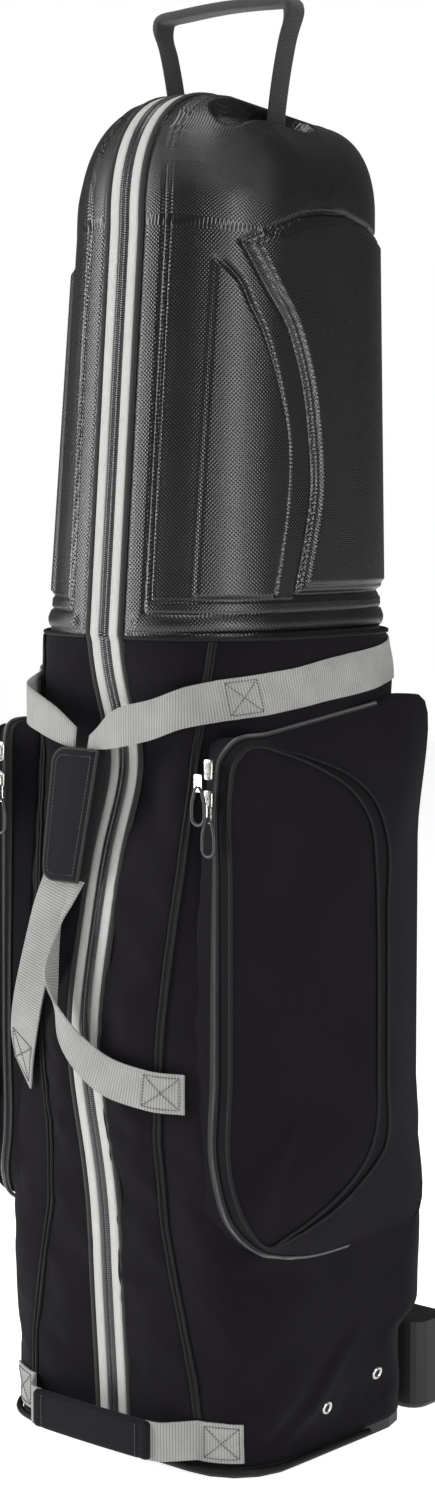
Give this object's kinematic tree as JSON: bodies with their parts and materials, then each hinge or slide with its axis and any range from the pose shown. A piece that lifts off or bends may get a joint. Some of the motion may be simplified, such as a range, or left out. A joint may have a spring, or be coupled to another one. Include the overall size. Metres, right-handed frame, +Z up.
{
  "type": "golf travel case",
  "caption": "Tall standing travel case for a golf bag: hard moulded top, soft padded body that unzips into two halves, side pockets, carry straps, rigid base and wheeled heel.",
  "frame": {"origin": "middle of the flat base where it meets the floor", "axes": "+Z up along the case, -Y towards the main zipper and carry handle, +Y towards the wheels, +X towards the fixed half"},
  "size_m": [0.381, 0.4061, 1.369],
  "materials": {
    "hard_shell": "black moulded ABS with a fine diamond weave texture, semi-gloss",
    "base_plastic": "black moulded plastic, satin",
    "lining": "black padded lining",
    "body_fabric": "black woven polyester, padded, faint sheen",
    "black_trim": "black piping cord and coil zipper teeth",
    "black_webbing": "black woven webbing",
    "grey_webbing": "grey ribbed webbing with black stitching",
    "silver_tape": "silver-grey woven zipper tape",
    "nickel": "nickel-plated zinc, satin",
    "rubber": "black rubber"
  },
  "bodies": {
    "case": {"back_panel_right": "body_fabric", "base_pad": "lining", "base_piping": "black_trim", "base_plate": "base_plastic", "bottom_handle_tail_left": "grey_webbing", "bottom_handle_tail_right": "grey_webbing", "carry_strap_lower_right": "grey_webbing", "carry_strap_upper_right": "grey_webbing", "eyelet_front_left": "nickel", "eyelet_front_right": "nickel", "eyelet_rear_left": "nickel", "eyelet_rear_right": "nickel", "front_panel_right": "body_fabric", "lower_body": "body_fabric", "pocket_gusset_right": "body_fabric", "pocket_zip_right": "black_trim", "seam_piping_right": "black_trim", "shell_right": "hard_shell", "side_panel_right": "body_fabric", "slider_upper_right": "nickel", "top_handle_grip": "black_webbing", "top_handle_leg_right": "black_webbing", "wheel_axle_left": "nickel", "wheel_axle_right": "nickel", "wheel_housing": "base_plastic", "zip_coil_right": "black_trim", "zip_lower": "silver_tape", "zip_tape_right": "silver_tape"},
    "left_half": {"front_panel_left": "body_fabric", "side_panel_left": "body_fabric", "back_panel_left": "body_fabric", "seam_piping_left": "black_trim", "shell_left": "hard_shell", "zip_tape_left": "silver_tape", "zip_coil_left": "black_trim", "pocket_gusset_left": "body_fabric", "pocket_zip_left": "black_trim", "slider_upper_left": "nickel", "carry_strap_upper_left": "grey_webbing", "carry_strap_lower_left": "grey_webbing", "carry_wrap": "body_fabric", "top_handle_leg_left": "black_webbing"},
    "wheel_right": {"wheel_hub_right": "base_plastic", "wheel_tyre_right": "rubber"},
    "wheel_left": {"wheel_hub_left": "base_plastic", "wheel_tyre_left": "rubber"},
    "wrap_flap": {"carry_wrap_flap": "body_fabric"},
    "haul_handle": {"bottom_handle_sleeve": "body_fabric"},
    "door_right": {"pocket_door_right": "body_fabric"},
    "door_left": {"pocket_door_left": "body_fabric"},
    "slider_right": {"slider_lower_right": "nickel"},
    "slider_left": {"slider_lower_left": "nickel"},
    "pull_lower_right": {"pull_lower_right": "rubber"},
    "pull_lower_left": {"pull_lower_left": "rubber"},
    "pull_upper_right": {"pull_upper_right": "rubber"},
    "pull_upper_left": {"pull_upper_left": "rubber"},
    "zip_slider": {"main_slider": "nickel"},
    "zip_pull": {"main_pull": "nickel"}
  },
  "joints": [
    {"name": "open_half", "type": "hinge", "parent": "case", "child": "left_half", "pos_m": [0, 0.168, 0.7], "axis": [0, 0, -1], "range_deg": [0, 45]},
    {"name": "spin_right", "type": "hinge", "parent": "case", "child": "wheel_right", "pos_m": [0.098, 0.165, 0.03], "axis": [1, 0, 0], "continuous": true},
    {"name": "spin_left", "type": "hinge", "parent": "case", "child": "wheel_left", "pos_m": [-0.098, 0.165, 0.03], "axis": [1, 0, 0], "continuous": true},
    {"name": "wrap_open", "type": "hinge", "parent": "left_half", "child": "wrap_flap", "pos_m": [0.0085, -0.1803, 0.672], "axis": [0.1743, 0, 0.9847], "range_deg": [0, 120]},
    {"name": "haul_lift", "type": "hinge", "parent": "case", "child": "haul_handle", "pos_m": [0, -0.156, 0.033], "axis": [-1, 0, 0], "range_deg": [0, 35]},
    {"name": "pocket_open_right", "type": "hinge", "parent": "case", "child": "door_right", "pos_m": [0.169, 0.1015, 0.2], "axis": [0, 0, 1], "range_deg": [0, 100]},
    {"name": "pocket_open_left", "type": "hinge", "parent": "left_half", "child": "door_left", "pos_m": [-0.169, 0.1015, 0.2], "axis": [0, 0, -1], "range_deg": [0, 100]},
    {"name": "pocket_zip_right", "type": "slide", "parent": "case", "child": "slider_right", "axis": [0, 0, -1], "range_m": [0, 0.33]},
    {"name": "pocket_zip_left", "type": "slide", "parent": "left_half", "child": "slider_left", "axis": [0, 0, -1], "range_m": [0, 0.33]},
    {"name": "flip_lower_right", "type": "hinge", "parent": "slider_right", "child": "pull_lower_right", "pos_m": [0.137, -0.1706, 0.629], "axis": [-1, 0, 0], "range_deg": [0, 150]},
    {"name": "flip_lower_left", "type": "hinge", "parent": "slider_left", "child": "pull_lower_left", "pos_m": [-0.128, -0.1706, 0.629], "axis": [-1, 0, 0], "range_deg": [0, 150]},
    {"name": "flip_upper_right", "type": "hinge", "parent": "case", "child": "pull_upper_right", "pos_m": [0.128, -0.1741, 0.657], "axis": [-1, 0, 0], "range_deg": [0, 150]},
    {"name": "flip_upper_left", "type": "hinge", "parent": "left_half", "child": "pull_upper_left", "pos_m": [-0.137, -0.1741, 0.657], "axis": [-1, 0, 0], "range_deg": [0, 150]},
    {"name": "main_zip", "type": "slide", "parent": "case", "child": "zip_slider", "axis": [0, 0, 1], "range_m": [0, 0.48]},
    {"name": "flip_main", "type": "hinge", "parent": "zip_slider", "child": "zip_pull", "pos_m": [0.0055, 0.1682, 0.624], "axis": [1, 0, 0], "range_deg": [0, 150]}
  ]
}
